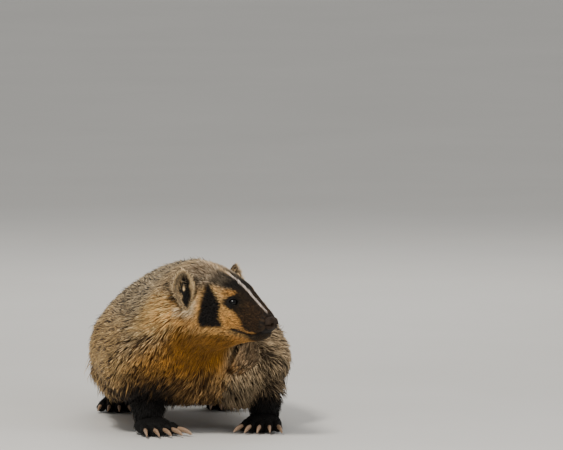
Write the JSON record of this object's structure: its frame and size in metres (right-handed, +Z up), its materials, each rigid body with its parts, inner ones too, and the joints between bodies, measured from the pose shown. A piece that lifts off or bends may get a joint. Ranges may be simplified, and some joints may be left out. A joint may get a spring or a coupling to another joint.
{
  "type": "american badger",
  "caption": "Life-size still model of a young American badger, standing on flat soles with its head turned to its left.",
  "frame": {"origin": "on the floor, under the middle of the animal's bounding box", "axes": "-Y is the way the trunk faces, +X is the animal's left, +Z is up"},
  "size_m": [0.2506, 0.6376, 0.2202],
  "materials": {
    "head_coat": "short coat, dark mask",
    "neck_coat": "tawny coat",
    "body_coat": "long grizzled coat",
    "tail_coat": "bushy coat",
    "nose_pad": "damp dark skin",
    "ear_coat": "short coat",
    "eye": "wet black",
    "leg_coat": "short black-brown coat"
  },
  "bodies": {
    "root": {"head": "head_coat", "neck": "neck_coat", "torso": "body_coat", "tail": "tail_coat", "nose": "nose_pad", "ear_left": "ear_coat", "ear_right": "ear_coat", "eye_left": "eye", "eye_right": "eye", "foreleg_left": "leg_coat", "foreleg_right": "leg_coat", "hindleg_left": "leg_coat", "hindleg_right": "leg_coat", "forepaw_left": "leg_coat", "forepaw_right": "leg_coat", "hindpaw_left": "leg_coat", "hindpaw_right": "leg_coat"}
  },
  "joints": []
}
